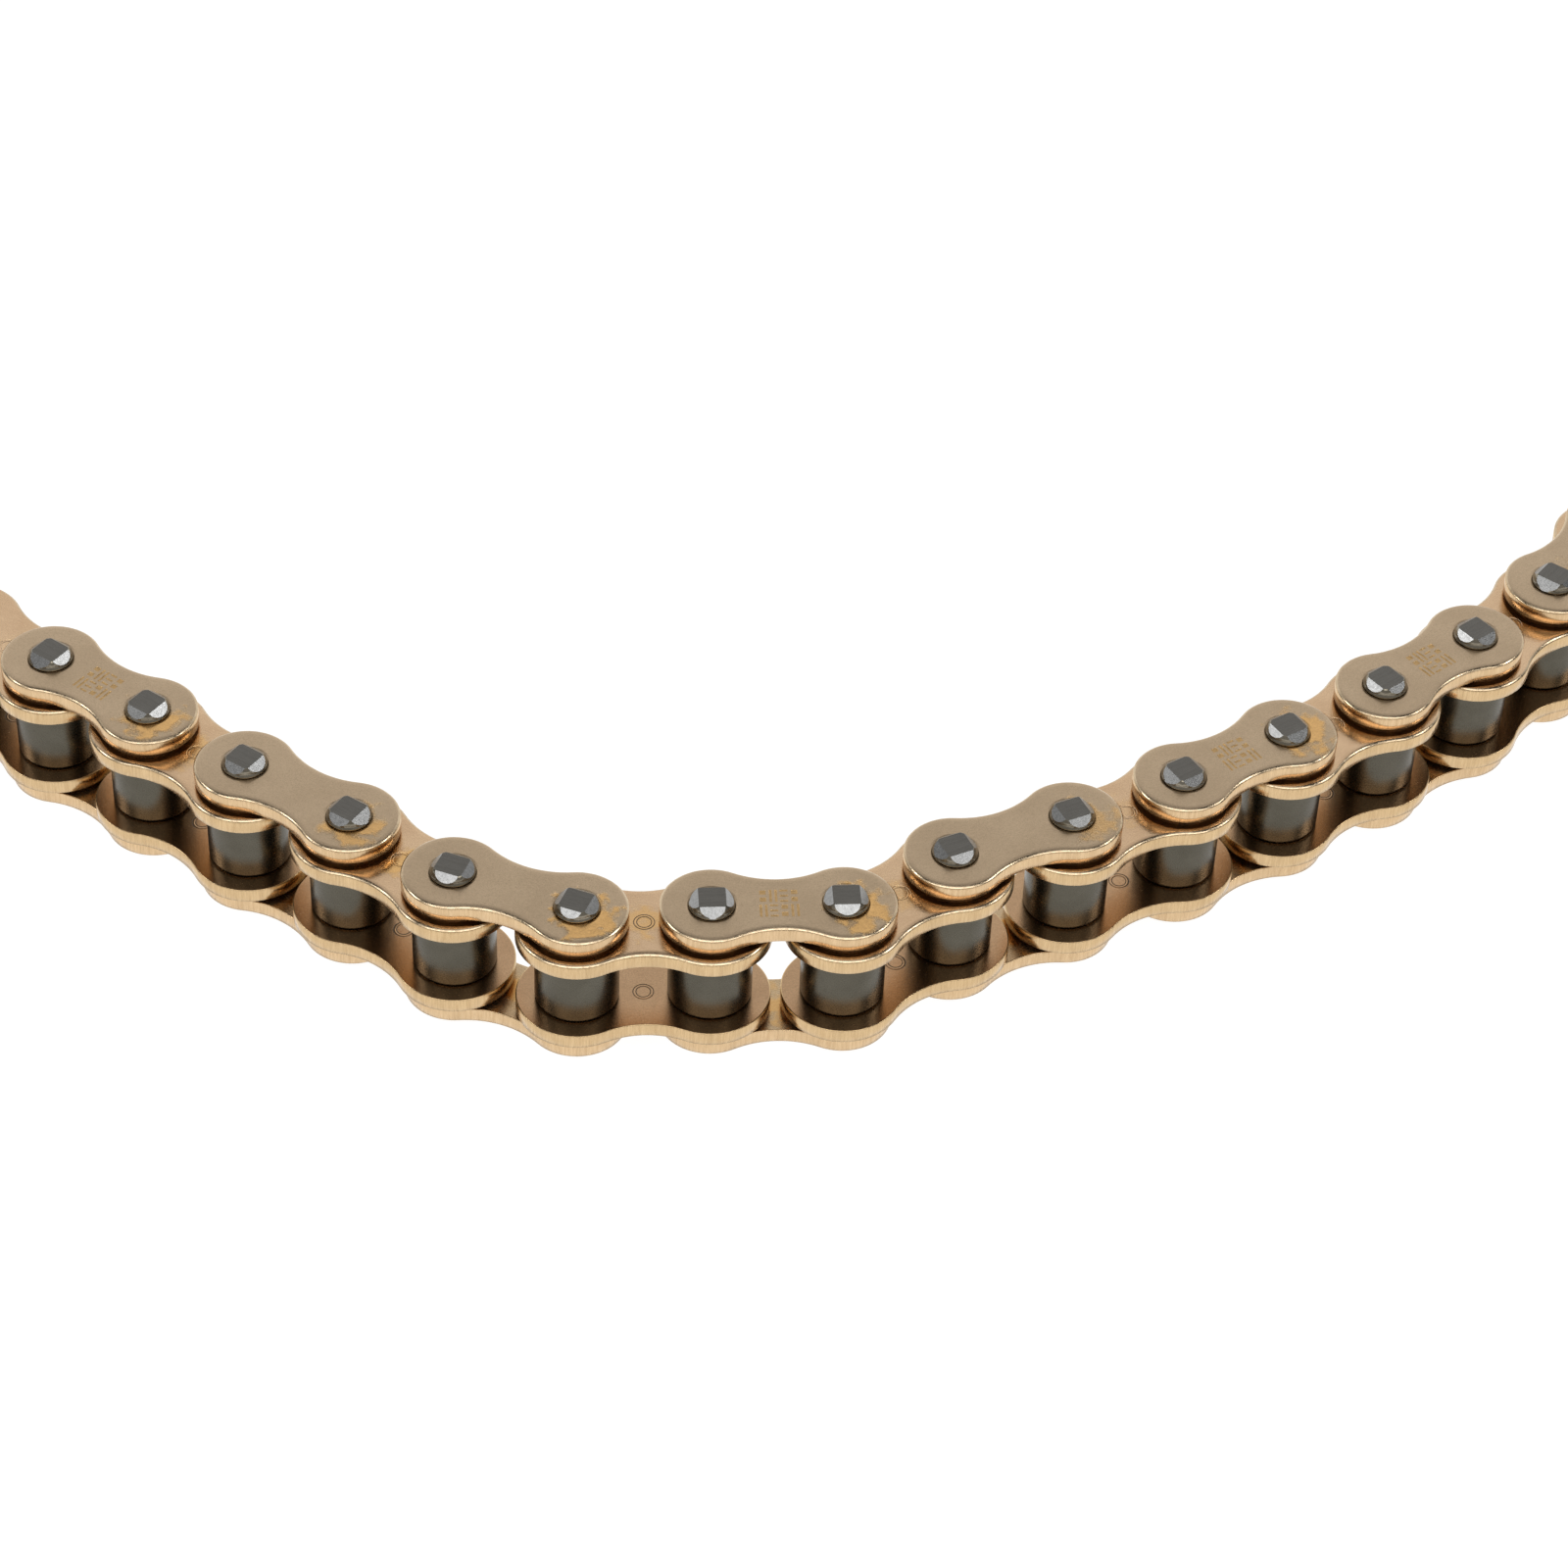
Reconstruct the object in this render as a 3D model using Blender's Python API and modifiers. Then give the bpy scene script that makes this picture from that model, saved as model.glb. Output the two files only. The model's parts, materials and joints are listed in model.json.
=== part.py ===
"""Sealed motorcycle drive chain, 530 size: a section of 17 links that lies on its side.

The pins stand upright. Stations 0 to 17 run along the chain from its left end, one pitch apart:
stations 1 to 16 hold a riveted pin, and the two end stations hold only a bush and its roller.
Even links, counted from 0, are inner (roller) links and odd ones are outer (pin) links.
The origin is the centre of the section's footprint, on the surface that the pin ends rest on.
"""

import math

import bmesh
import bpy
from mathutils import Matrix, Vector

MM = 0.001

# Chain size
PITCH = 15.875 * MM
INNER_WIDTH = 9.6 * MM
ROLLER_RADIUS = 5.08 * MM
PIN_RADIUS = 2.64 * MM
BUSH_RADIUS = 3.6 * MM

# Plates: lobe radius round each hole, half height at the waist, thickness
INNER_LOBE = 7.35 * MM
INNER_WAIST = 5.52 * MM
INNER_THICKNESS = 2.05 * MM
OUTER_LOBE = 6.2 * MM
OUTER_WAIST = 4.33 * MM
OUTER_THICKNESS = 2.1 * MM
SEAL_GAP = 0.6 * MM
PIN_PROUD = 1.2 * MM

# Fits
BUSH_BORE = 2.7 * MM
ROLLER_BORE = 3.67 * MM
PIN_HOLE = 2.69 * MM
BUSH_HOLE = 3.64 * MM
ROLLER_END_GAP = 0.1 * MM
BUSH_PROUD = 0.3 * MM
SEAL_RADII = (3.8 * MM, 5.3 * MM)
SEAL_SIDE_GAP = 0.05 * MM
SEAL_WAIST = 0.1 * MM

# Staked pin end: half width of its square flat top, and the slope of the four facets round it
STAKE_HALF = 1.85 * MM
STAKE_SLOPE = math.radians(45)

# How the section lies: each link's direction in degrees from +X
HEADINGS = (-37, -34, -35, -32, -34, -19, 5, 5, 36, 27, 30, 34, 37, 40, 46, 55, 60)
ROOT_LINK = 7

# Which links are made in separate pieces throughout
LINKS_WITH_LOOSE_PINS = range(2, 7)
LINK_WITH_LOOSE_BUSHES = 4
LINK_WITH_SEALS = 4

# Smoothness
ROUND_SIDES = 20
ROLLER_SIDES = 24
LOBE_STEPS = 10
WAIST_STEPS = 4

# Heights above the surface
PIN_LENGTH = 2 * (PIN_PROUD + OUTER_THICKNESS + SEAL_GAP + INNER_THICKNESS) + INNER_WIDTH
LOWER_OUTER_Z = PIN_PROUD
LOWER_INNER_Z = LOWER_OUTER_Z + OUTER_THICKNESS + SEAL_GAP
ROLLER_Z = LOWER_INNER_Z + INNER_THICKNESS
UPPER_INNER_Z = ROLLER_Z + INNER_WIDTH
UPPER_OUTER_Z = UPPER_INNER_Z + INNER_THICKNESS + SEAL_GAP


def clear_scene():
    for obj in list(bpy.data.objects):
        bpy.data.objects.remove(obj)


def new_collection(name):
    collection = bpy.data.collections.new(name)
    bpy.context.scene.collection.children.link(collection)
    return collection


def new_material(name, colour, metallic, roughness):
    material = bpy.data.materials.new(name)
    material.use_nodes = True
    shader = material.node_tree.nodes["Principled BSDF"]
    shader.inputs["Base Color"].default_value = (*colour, 1)
    shader.inputs["Metallic"].default_value = metallic
    shader.inputs["Roughness"].default_value = roughness
    material.diffuse_color = (*colour, 1)
    return material


def new_object(name, data, collection):
    obj = bpy.data.objects.new(name, data)
    collection.objects.link(obj)
    return obj


def evaluated_mesh(obj, name):
    """The object's shape with its modifiers applied, welded into one closed mesh."""
    bpy.context.view_layer.update()
    graph = bpy.context.evaluated_depsgraph_get()
    mesh = bpy.data.meshes.new_from_object(obj.evaluated_get(graph))
    mesh.name = name
    mesh.transform(obj.matrix_world)
    bm = bmesh.new()
    bm.from_mesh(mesh)
    bmesh.ops.remove_doubles(bm, verts=bm.verts, dist=0.0001 * MM)
    bm.to_mesh(mesh)
    bm.free()
    return mesh


def shade_round(mesh):
    mesh.shade_smooth()
    mesh.set_sharp_from_angle(angle=math.radians(30))


def arc(centre, radius, start, end, steps):
    """Points along an arc, ends included, with angles in radians."""
    angles = [start + (end - start) * i / steps for i in range(steps + 1)]
    return [(centre[0] + radius * math.cos(a), centre[1] + radius * math.sin(a)) for a in angles]


def circle(centre, radius):
    return arc(centre, radius, 0, 2 * math.pi, ROUND_SIDES)[:-1]


def plate_outline(lobe, waist):
    """A figure-of-eight plate: a lobe round each hole, and hollow arcs that meet the lobes smoothly."""
    half = PITCH / 2
    hollow = (half**2 + waist**2 - lobe**2) / (2 * (lobe - waist))
    meet = math.atan2(waist + hollow, half)
    right = arc((PITCH, 0), lobe, meet - math.pi, math.pi - meet, LOBE_STEPS)
    top = arc((half, waist + hollow), hollow, -meet, meet - math.pi, WAIST_STEPS)
    left = arc((0, 0), lobe, meet, 2 * math.pi - meet, LOBE_STEPS)
    bottom = arc((half, -waist - hollow), hollow, math.pi - meet, meet, WAIST_STEPS)
    return right + top[1:-1] + left + bottom[1:-1]


def plate_curve(name, lobe, waist, thickness, hole=None):
    """A flat plate with its underside at z = 0 and a hole at each end of the pitch."""
    curve = bpy.data.curves.new(name, "CURVE")
    curve.dimensions = "2D"
    curve.fill_mode = "BOTH"
    curve.extrude = thickness / 2
    outlines = [plate_outline(lobe, waist)]
    if hole:
        outlines += [circle((x, 0), hole) for x in (0, PITCH)]
    for points in outlines:
        spline = curve.splines.new("POLY")
        spline.points.add(len(points) - 1)
        for point, (x, y) in zip(spline.points, points):
            point.co = (x, y, 0, 1)
        spline.use_cyclic_u = True
    return curve


def plate_mesh(name, lobe, waist, thickness, hole=None):
    guide = new_object(name, plate_curve(name, lobe, waist, thickness, hole), helpers)
    guide.location.z = thickness / 2
    mesh = evaluated_mesh(guide, name)
    bpy.data.objects.remove(guide)
    shade_round(mesh)
    return mesh


def turned_mesh(name, profile, steps):
    """A ring turned about Z from a closed (radius, height) profile that runs down its outer side."""
    outline = bpy.data.meshes.new(name + "_profile")
    ends = [(i, (i + 1) % len(profile)) for i in range(len(profile))]
    outline.from_pydata([(r, 0, z) for r, z in profile], ends, [])
    guide = new_object(name, outline, helpers)
    screw = guide.modifiers.new("turn", "SCREW")
    screw.steps = steps
    screw.render_steps = steps
    screw.use_merge_vertices = True
    screw.merge_threshold = 0.001 * MM
    mesh = evaluated_mesh(guide, name)
    bpy.data.objects.remove(guide)
    shade_round(mesh)
    return mesh


def sleeve_mesh(name, inner, outer, length, steps):
    profile = [(outer, length), (outer, 0), (inner, 0), (inner, length)]
    return turned_mesh(name, profile, steps)


def seal_mesh():
    """An X-section ring: four lips, with a shallow hollow between the two of each side."""
    height = SEAL_GAP - 2 * SEAL_SIDE_GAP
    inner, outer = SEAL_RADII
    middle = (inner + outer) / 2
    profile = [(outer, height), (outer - SEAL_WAIST, height / 2), (outer, 0), (middle, SEAL_WAIST)]
    profile += [(inner, 0), (inner + SEAL_WAIST, height / 2), (inner, height)]
    profile += [(middle, height - SEAL_WAIST)]
    return turned_mesh("seal", profile, ROUND_SIDES)


def pin_bmesh():
    """A pin with both ends staked square: its flat end stands inside four sloping facets."""
    bm = bmesh.new()
    at_middle = Matrix.Translation((0, 0, PIN_LENGTH / 2))
    bmesh.ops.create_cone(
        bm,
        cap_ends=True,
        segments=ROUND_SIDES,
        radius1=PIN_RADIUS,
        radius2=PIN_RADIUS,
        depth=PIN_LENGTH,
        matrix=at_middle @ Matrix.Rotation(math.pi / 2, 4, "Z"),
    )
    for end, up in ((0, -1), (PIN_LENGTH, 1)):
        for quarter in range(4):
            turn = quarter * math.pi / 2
            outward = Vector((math.cos(turn), math.sin(turn), 0))
            slope = outward * math.sin(STAKE_SLOPE) + Vector((0, 0, up * math.cos(STAKE_SLOPE)))
            cut = bmesh.ops.bisect_plane(
                bm,
                geom=bm.verts[:] + bm.edges[:] + bm.faces[:],
                plane_co=outward * STAKE_HALF + Vector((0, 0, end)),
                plane_no=slope,
                clear_outer=True,
            )
            rim = [item for item in cut["geom_cut"] if isinstance(item, bmesh.types.BMEdge)]
            bmesh.ops.contextual_create(bm, geom=rim)
    bmesh.ops.recalc_face_normals(bm, faces=bm.faces[:])
    return bm


def pin_mesh():
    mesh = bpy.data.meshes.new("pin")
    bm = pin_bmesh()
    bm.to_mesh(mesh)
    bm.free()
    shade_round(mesh)
    return mesh


def helper(name, mesh, location):
    """A shape that another one is joined to or cut by."""
    obj = new_object(name, mesh, helpers)
    obj.location = location
    obj.hide_render = True
    obj.display_type = "WIRE"
    return obj


def post_mesh(name, radius, length):
    mesh = bpy.data.meshes.new(name)
    bm = bmesh.new()
    bmesh.ops.create_cone(
        bm,
        cap_ends=True,
        segments=ROUND_SIDES,
        radius1=radius,
        radius2=radius,
        depth=length,
        matrix=Matrix.Translation((0, 0, length / 2)) @ Matrix.Rotation(math.pi / 2, 4, "Z"),
    )
    bm.to_mesh(mesh)
    bm.free()
    return mesh


def combined_mesh(name, base, steps):
    """The base mesh after each Boolean step, given as (operation, mesh, location)."""
    obj = new_object(name, base, helpers)
    others = []
    for operation, mesh, location in steps:
        other = helper(name + "_" + operation.lower(), mesh, location)
        modifier = obj.modifiers.new(operation.lower(), "BOOLEAN")
        modifier.operation = operation
        modifier.object = other
        others.append(other)
    mesh = evaluated_mesh(obj, name)
    for helper_object in [obj, *others]:
        bpy.data.objects.remove(helper_object)
    shade_round(mesh)
    return mesh


def inner_pair_mesh():
    """Two inner plates pressed on their two bushes, with the lower plate's underside at z = 0."""
    plate = plate_mesh("inner_plate_blank", INNER_LOBE, INNER_WAIST, INNER_THICKNESS)
    bush = post_mesh("bush_blank", BUSH_RADIUS, INNER_WIDTH + INNER_THICKNESS)
    bore = post_mesh("bush_bore", BUSH_BORE, PIN_LENGTH)
    steps = [("UNION", bush, (x, 0, INNER_THICKNESS / 2)) for x in (0, PITCH)]
    steps += [("UNION", plate, (0, 0, INNER_THICKNESS + INNER_WIDTH))]
    steps += [("DIFFERENCE", bore, (x, 0, -INNER_THICKNESS)) for x in (0, PITCH)]
    return combined_mesh("inner_plates_and_bushes", plate, steps)


def pin_plate_mesh(pin):
    """A lower outer plate with its two pins riveted in, with the pin ends at z = 0."""
    blank = plate_mesh("outer_plate_blank", OUTER_LOBE, OUTER_WAIST, OUTER_THICKNESS)
    blank.transform(Matrix.Translation((0, 0, LOWER_OUTER_Z)))
    return combined_mesh("pin_plate", blank, [("UNION", pin, (x, 0, 0)) for x in (0, PITCH)])


def is_outer(link):
    return link % 2 == 1


def number_of(link):
    """A link's number among those of its own kind, counted from 1."""
    return (link + 1) // 2 if is_outer(link) else link // 2 + 1


def station_points():
    points = [Vector((0, 0, 0))]
    for heading in HEADINGS:
        angle = math.radians(heading)
        points.append(points[-1] + PITCH * Vector((math.cos(angle), math.sin(angle), 0)))
    return points


def footprint_centre(stations):
    """The middle of the box round every plate outline, seen from above."""
    corners = []
    for link, heading in enumerate(HEADINGS):
        size = (OUTER_LOBE, OUTER_WAIST) if is_outer(link) else (INNER_LOBE, INNER_WAIST)
        place = Matrix.Translation(stations[link]) @ Matrix.Rotation(math.radians(heading), 4, "Z")
        corners += [place @ Vector((x, y, 0)) for x, y in plate_outline(*size)]
    xs, ys = [p.x for p in corners], [p.y for p in corners]
    return Vector(((min(xs) + max(xs)) / 2, (min(ys) + max(ys)) / 2, 0))


def first_end(link):
    """Where a link's first hole lies, measured from the pin that joins it towards the root link."""
    return 0 if link >= ROOT_LINK else -PITCH


def add_link_frames():
    """One empty per link, on the axis of the pin that joins it towards the root, along the link."""
    stations = station_points()
    centre = footprint_centre(stations)
    frames = {}
    outward = [ROOT_LINK, *range(ROOT_LINK + 1, len(HEADINGS)), *range(ROOT_LINK - 1, -1, -1)]
    for link in outward:
        name = "outer_link" if is_outer(link) else "inner_link"
        frame = new_object(f"{name}_{number_of(link)}_frame", None, chain)
        frame.empty_display_size = PITCH / 2
        heading = HEADINGS[link]
        if link == ROOT_LINK:
            frame.location = stations[link] - centre
        else:
            parent = link - 1 if link > ROOT_LINK else link + 1
            frame.parent = frames[parent]
            frame.location.x = first_end(parent) + (PITCH if link > parent else 0)
            heading -= HEADINGS[parent]
        frame.rotation_euler.z = math.radians(heading)
        frames[link] = frame
    return frames


def add_piece(name, mesh, material, frame, x, z):
    obj = new_object(name, mesh, chain)
    obj.parent = frame
    obj.location = (x, 0, z)
    if material.name not in mesh.materials:
        mesh.materials.append(material)
    return obj


def add_outer_link(link, frame):
    number, start = number_of(link), first_end(link)
    add_piece(f"outer_plate_top_{number}", outer_plate, gold_plate, frame, start, UPPER_OUTER_Z)
    if number in LINKS_WITH_LOOSE_PINS:
        name = f"outer_plate_bottom_{number}"
        add_piece(name, outer_plate, gold_plate, frame, start, LOWER_OUTER_Z)
        for end in (0, 1):
            name = f"pin_{link + end:02d}"
            add_piece(name, pin, pin_steel, frame, start + end * PITCH, 0)
    else:
        add_piece(f"pin_plate_{number}", pin_plate, gold_plate, frame, start, 0)
    if number == LINK_WITH_SEALS:
        below = LOWER_OUTER_Z + OUTER_THICKNESS + SEAL_SIDE_GAP
        above = UPPER_INNER_Z + INNER_THICKNESS + SEAL_SIDE_GAP
        for end in (0, 1):
            for side, z in (("bottom", below), ("top", above)):
                name = f"x_ring_seal_{side}_{link + end:02d}"
                add_piece(name, seal, seal_rubber, frame, start + end * PITCH, z)


def add_inner_link(link, frame):
    number, start = number_of(link), first_end(link)
    if number == LINK_WITH_LOOSE_BUSHES:
        for side, z in (("bottom", LOWER_INNER_Z), ("top", UPPER_INNER_Z)):
            name = f"inner_plate_{side}_{number}"
            add_piece(name, inner_plate, gold_inner_plate, frame, start, z)
        for end in (0, 1):
            name = f"bush_{link + end:02d}"
            add_piece(name, bush, bush_steel, frame, start + end * PITCH, LOWER_INNER_Z - BUSH_PROUD)
    else:
        name = f"inner_plates_and_bushes_{number}"
        add_piece(name, inner_pair, gold_inner_plate, frame, start, LOWER_INNER_Z)
    for end in (0, 1):
        name = f"roller_{link + end:02d}"
        add_piece(name, roller, roller_steel, frame, start + end * PITCH, ROLLER_Z + ROLLER_END_GAP)


clear_scene()
chain = new_collection("drive_chain")
helpers = new_collection("helpers")

gold_plate = new_material("gold_plate", (0.40, 0.31, 0.20), 1, 0.36)
gold_inner_plate = new_material("gold_inner_plate", (0.42, 0.30, 0.19), 1, 0.32)
pin_steel = new_material("pin_steel", (0.11, 0.11, 0.10), 1, 0.35)
bush_steel = new_material("bush_steel", (0.30, 0.29, 0.28), 1, 0.3)
roller_steel = new_material("roller_steel", (0.13, 0.125, 0.12), 1, 0.35)
seal_rubber = new_material("seal_rubber", (0.012, 0.012, 0.012), 0, 0.5)

outer_plate = plate_mesh("outer_plate", OUTER_LOBE, OUTER_WAIST, OUTER_THICKNESS, PIN_HOLE)
inner_plate = plate_mesh("inner_plate", INNER_LOBE, INNER_WAIST, INNER_THICKNESS, BUSH_HOLE)
pin = pin_mesh()
pin_plate = pin_plate_mesh(pin)
inner_pair = inner_pair_mesh()
bush_length = INNER_WIDTH + 2 * (INNER_THICKNESS + BUSH_PROUD)
bush = sleeve_mesh("bush", BUSH_BORE, BUSH_RADIUS, bush_length, ROUND_SIDES)
roller = sleeve_mesh(
    "roller", ROLLER_BORE, ROLLER_RADIUS, INNER_WIDTH - 2 * ROLLER_END_GAP, ROLLER_SIDES
)
seal = seal_mesh()

for link, frame in add_link_frames().items():
    if is_outer(link):
        add_outer_link(link, frame)
    else:
        add_inner_link(link, frame)
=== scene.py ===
"""Looks of the drive chain: fine plates, staked pins, rollers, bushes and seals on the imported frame."""

import json
import math
import random

import bmesh
import bpy
from mathutils import Matrix, Vector


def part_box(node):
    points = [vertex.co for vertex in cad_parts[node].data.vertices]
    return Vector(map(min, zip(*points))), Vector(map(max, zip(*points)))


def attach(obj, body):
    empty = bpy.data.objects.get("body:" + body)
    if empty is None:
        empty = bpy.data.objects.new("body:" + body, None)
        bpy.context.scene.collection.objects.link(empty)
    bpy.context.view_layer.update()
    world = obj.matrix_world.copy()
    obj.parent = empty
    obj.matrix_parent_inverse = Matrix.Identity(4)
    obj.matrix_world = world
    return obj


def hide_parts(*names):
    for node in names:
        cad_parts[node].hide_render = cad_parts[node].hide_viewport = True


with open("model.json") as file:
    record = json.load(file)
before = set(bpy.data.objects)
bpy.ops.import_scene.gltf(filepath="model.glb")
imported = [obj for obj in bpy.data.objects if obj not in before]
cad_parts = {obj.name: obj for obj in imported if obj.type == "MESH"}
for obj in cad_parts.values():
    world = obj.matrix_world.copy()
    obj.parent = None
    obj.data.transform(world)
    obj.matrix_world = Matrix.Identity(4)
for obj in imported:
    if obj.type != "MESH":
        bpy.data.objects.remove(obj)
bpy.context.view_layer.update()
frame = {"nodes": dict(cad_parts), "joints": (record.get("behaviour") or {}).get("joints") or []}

MM = 0.001

# ---------------------------------------------------------------- sizes, in millimetres
PITCH = 15.875
HALF = PITCH / 2
INNER_LOBE, INNER_WAIST = 7.35, 5.52
OUTER_LOBE, OUTER_WAIST = 6.2, 4.33
PIN_RADIUS = 2.62
# A pin's head, as (radius, depth below its end), and its swaged collar, as (radius, height above the plate)
PIN_HEAD = ((2.2, 0), (2.27, 0.03), (2.48, 0.36), (2.57, 0.6))
PIN_COLLAR = ((2.63, 0.32), (2.72, 0.22), (2.77, 0.1), (2.75, 0.02), (PIN_RADIUS, 0))
# How far a pin's four stake facets lie from its axis, how steep they are, and how much both vary
STAKE_HALF, STAKE_SLOPE = 1.7, math.radians(42)
STAKE_HALF_SPREAD, STAKE_SLOPE_SPREAD = 0.13, math.radians(1.5)
STAKE_ROUNDING = 0.06
BUSH_RADIUS, BUSH_BORE = 3.6, 2.7
ROLLER_RADIUS, ROLLER_BORE, ROLLER_BORE_CHAMFER = 5.08, 3.67, 0.3
# An X-ring's middle radius, half its width, and how deep its four hollows are as a share of its half
SEAL_MIDDLE, SEAL_HALF, SEAL_HOLLOW = 4.55, 0.75, 0.2
PIN_HOLE_GAP, BUSH_HOLE_GAP = 0.03, 0.02

# Edges, as (distance in from the outline, depth below the face): a plate's rolled edge and its burr,
# the edge of a hole, and the rounded end of a roller and of a bush
ROLLED_EDGE = ((0.8, 0), (0.45, 0.012), (0.29, 0.038), (0.2, 0.08), (0.06, 0.19), (0, 0.25))
BURR_EDGE = ((0.14, 0), (0.05, 0.02), (0, 0.08))
HOLE_EDGE = ((0.5, 0), (0.3, 0.03), (0.12, 0.09), (0, 0.2))
ROLLER_EDGE = ((0.42, 0), (0.2, 0.05), (0.05, 0.2), (0, 0.45))
BUSH_EDGE, BUSH_BORE_CHAMFER = ((0.2, 0), (0, 0.25)), (0.18, 0.2)
LOBE_STEPS, WAIST_STEPS, HOLE_STEPS, TURN_STEPS, SEAL_STEPS = 44, 16, 48, 72, 24
SHARP_ANGLE = math.radians(40)

# The ring punched in each inner plate, as (radius, depth)
PUNCHED_RING = ((1.3, 0), (1.25, 0.06), (1.18, 0.03), (0.94, 0.03), (0.88, 0.06), (0.82, 0))
# The stamp in some outer plates: a grid of cells of plain bars, whose walls slope in as they go down
STAMP_ROWS, STAMP_COLUMNS, STAMP_KINDS = 2, 4, 3
STAMP_CELL, STAMP_GAP, STAMP_BAR = (0.95, 2.05), (0.3, 0.42), 0.3
STAMP_DEPTH, STAMP_WALL = 0.06, 0.06
# A stamped block's width, height and distance from the middle of its cell, as shares of the cell
STAMP_BLOCK = (0.8, 1 / 3, 1 / 3.4)
STAMPED_LINKS = (1, 4, 6, 7)

# The middles of a plate's three grease patches, and how far from them each is thick and is gone
GREASE_SPOTS = ((-HALF + 1.5, -1.2, 0), (HALF + 1.5, -1.2, 0), (0, 0, 0))
GREASE_REACH = ((2, 4.8), (2, 4.8), (1.2, 4.2))
GREASE_COLOUR = (0.74, 0.44, 0.165)
CRUST_COLOUR = (0.86, 0.66, 0.4)
# How greasy each outer link's upper plate is round its left pin, round its right pin and between them
OUTER_GREASE = {1: (0, 0.7, 0), 2: (0, 0.6, 0), 3: (0, 1, 0), 4: (0, 0.8, 0), 5: (0, 0.5, 0),
                6: (0, 0.7, 0), 7: (0, 0.1, 0), 8: (0.3, 0.1, 0)}
UNDER_OUTER_GREASE = (0.8, 0.9, 0.6)
# The same for the inner plates
INNER_GREASE = {2: (0.3, 0.3, 0.5), 3: (0.3, 0.4, 0.6), 4: (0.2, 0.3, 0.5), 5: (0.2, 0.3, 0.4),
                6: (0.2, 0.2, 0.3)}
OTHER_INNER_GREASE, UNDER_INNER_GREASE = (0.1, 0.1, 0.2), (0, 0, 0.1)
# The one upper inner plate whose ring holds dark grime
GRIMY_RING = 4

# Material slots of a plate and of a pin
FACE, RIM, STAMP, ROLLED, GROOVE = range(5)
FACETS, ENDS, SIDES = range(3)
# The slots of a plate's edge from its face outwards, as far as the rim, and those of the punched ring
EDGE_SLOTS = [FACE, FACE, ROLLED, ROLLED]
RING_SLOTS = [GROOVE, GROOVE, FACE, GROOVE, GROOVE]
# How level a pin's ends are at least, and how level and how large its facets are
END_LEVEL, FACET_LEVEL, FACET_AREA = 0.98, 0.6, 1

# Camera: it looks down at a point near the middle of the section
CAMERA_TARGET = Vector((-5.195, -4.613, 0)) * MM
CAMERA_DISTANCE = 0.575
CAMERA_ELEVATION = math.radians(42.816)
CAMERA_ROLL = math.radians(-2.371)
CAMERA_LENS = 103.611
CAMERA_SHIFT_Y = 0.0082
CAMERA_SENSOR = 36

# ---------------------------------------------------------------- where the links lie
STATIONS = {
    int(joint["name"][-2:]): Vector((joint["pos_m"][0], joint["pos_m"][1], 0))
    for joint in frame["joints"]
    if joint["name"].startswith("roller_spin")
}
LINKS = range(len(STATIONS) - 1)


def is_outer(link):
    return link % 2 == 1


def number_of(link):
    return (link + 1) // 2 if is_outer(link) else link // 2 + 1


def body_of(link):
    return f"{'outer' if is_outer(link) else 'inner'}_link_{number_of(link)}"


def link_frame(link):
    """Places a link's own millimetres, centred between its holes and running along +X, in the frame."""
    ahead = STATIONS[link + 1] - STATIONS[link]
    place = Matrix.Translation((STATIONS[link] + STATIONS[link + 1]) / 2)
    return place @ Matrix.Rotation(math.atan2(ahead.y, ahead.x), 4, "Z") @ Matrix.Scale(MM, 4)


def heights(node):
    low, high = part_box(node)
    return low.z / MM, high.z / MM


OUTER_TOP = heights("outer_plate_top_4")
OUTER_BOTTOM = heights("outer_plate_bottom_4")
INNER_TOP = heights("inner_plate_top_4")
INNER_BOTTOM = heights("inner_plate_bottom_4")
PIN_ENDS = heights("pin_07")
BUSH_ENDS = heights("bush_07")
ROLLER_ENDS = heights("roller_07")
SEAL_TOP = heights("x_ring_seal_top_07")
SEAL_BOTTOM = heights("x_ring_seal_bottom_07")


# ---------------------------------------------------------------- mesh building
def arc(centre, radius, start, end, steps):
    angles = [start + (end - start) * i / steps for i in range(steps + 1)]
    return [(centre[0] + radius * math.cos(a), centre[1] + radius * math.sin(a)) for a in angles]


def circle(x, radius, steps=HOLE_STEPS):
    return arc((x, 0), radius, 0, 2 * math.pi, steps)[:-1]


def rectangle(x, y, half_width, half_height):
    corners = ((-1, -1), (1, -1), (1, 1), (-1, 1))
    return [(x + i * half_width, y + j * half_height) for i, j in corners]


def plate_outline(lobe, waist, inset):
    """The figure-of-eight outline, centred on the plate, moved in by inset all round."""
    hollow = (HALF**2 + waist**2 - lobe**2) / (2 * (lobe - waist))
    meet = math.atan2(waist + hollow, HALF)
    lobe, up, hollow = lobe - inset, waist + hollow, hollow + inset
    right = arc((HALF, 0), lobe, meet - math.pi, math.pi - meet, LOBE_STEPS)
    top = arc((0, up), hollow, -meet, meet - math.pi, WAIST_STEPS)
    left = arc((-HALF, 0), lobe, meet, 2 * math.pi - meet, LOBE_STEPS)
    bottom = arc((0, -up), hollow, math.pi - meet, meet, WAIST_STEPS)
    return right + top[1:-1] + left + bottom[1:-1]


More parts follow.
